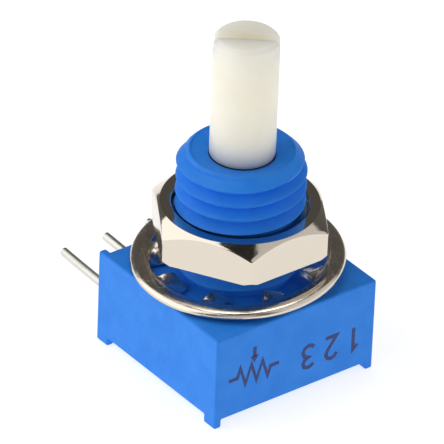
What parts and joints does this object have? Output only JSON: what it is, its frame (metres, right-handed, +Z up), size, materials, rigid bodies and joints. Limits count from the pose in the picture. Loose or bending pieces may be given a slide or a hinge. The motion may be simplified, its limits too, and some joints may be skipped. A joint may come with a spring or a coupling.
{
  "type": "rotary potentiometer",
  "caption": "Small square rotary potentiometer with a threaded panel bushing, slotted plain shaft, hex nut, toothed lock washer and wire terminals in a row.",
  "frame": {"origin": "on the shaft axis, in the body face that seats on the panel, where the bushing starts", "axes": "+Z up the shaft, away from the body; +Y along the terminals, out of the rear face; +X to the right seen from behind the panel face with the terminals pointing away"},
  "size_m": [0.0104, 0.0158, 0.0178],
  "materials": {
    "blue_moulding": "satin moulded thermoplastic",
    "ivory_moulding": "satin moulded thermoplastic",
    "black_moulding": "matt moulded thermoplastic",
    "seal_rubber": "matt",
    "spring_alloy": "bright rolled strip",
    "ceramic": "fired, matt",
    "track_film": "printed and fired, matt",
    "silver_film": "printed and fired, dull",
    "tinned_wire": "tinned, slightly dull",
    "solder": "dull bright",
    "resin": "cast, glossy",
    "nickel_plate": "bright nickel plate"
  },
  "bodies": {
    "body": {"housing": "blue_moulding", "element_substrate": "ceramic", "resistive_track": "track_film", "collector_track": "silver_film", "sealing_resin": "resin", "lock_washer": "nickel_plate", "hex_nut": "nickel_plate", "terminal_1": "tinned_wire", "solder_joint_1": "solder", "termination_1": "silver_film", "terminal_2": "tinned_wire", "solder_joint_2": "solder", "termination_2": "silver_film", "terminal_3": "tinned_wire", "solder_joint_3": "solder", "termination_3": "silver_film"},
    "spindle": {"shaft": "ivory_moulding", "shaft_seal_ring": "seal_rubber", "rotor": "black_moulding", "wiper_contact": "spring_alloy"}
  },
  "joints": [
    {"name": "shaft_turn", "type": "hinge", "parent": "body", "child": "spindle", "pos_m": [0, 0, 0], "axis": [0, 0, 1], "range_deg": [-150, 150]}
  ]
}
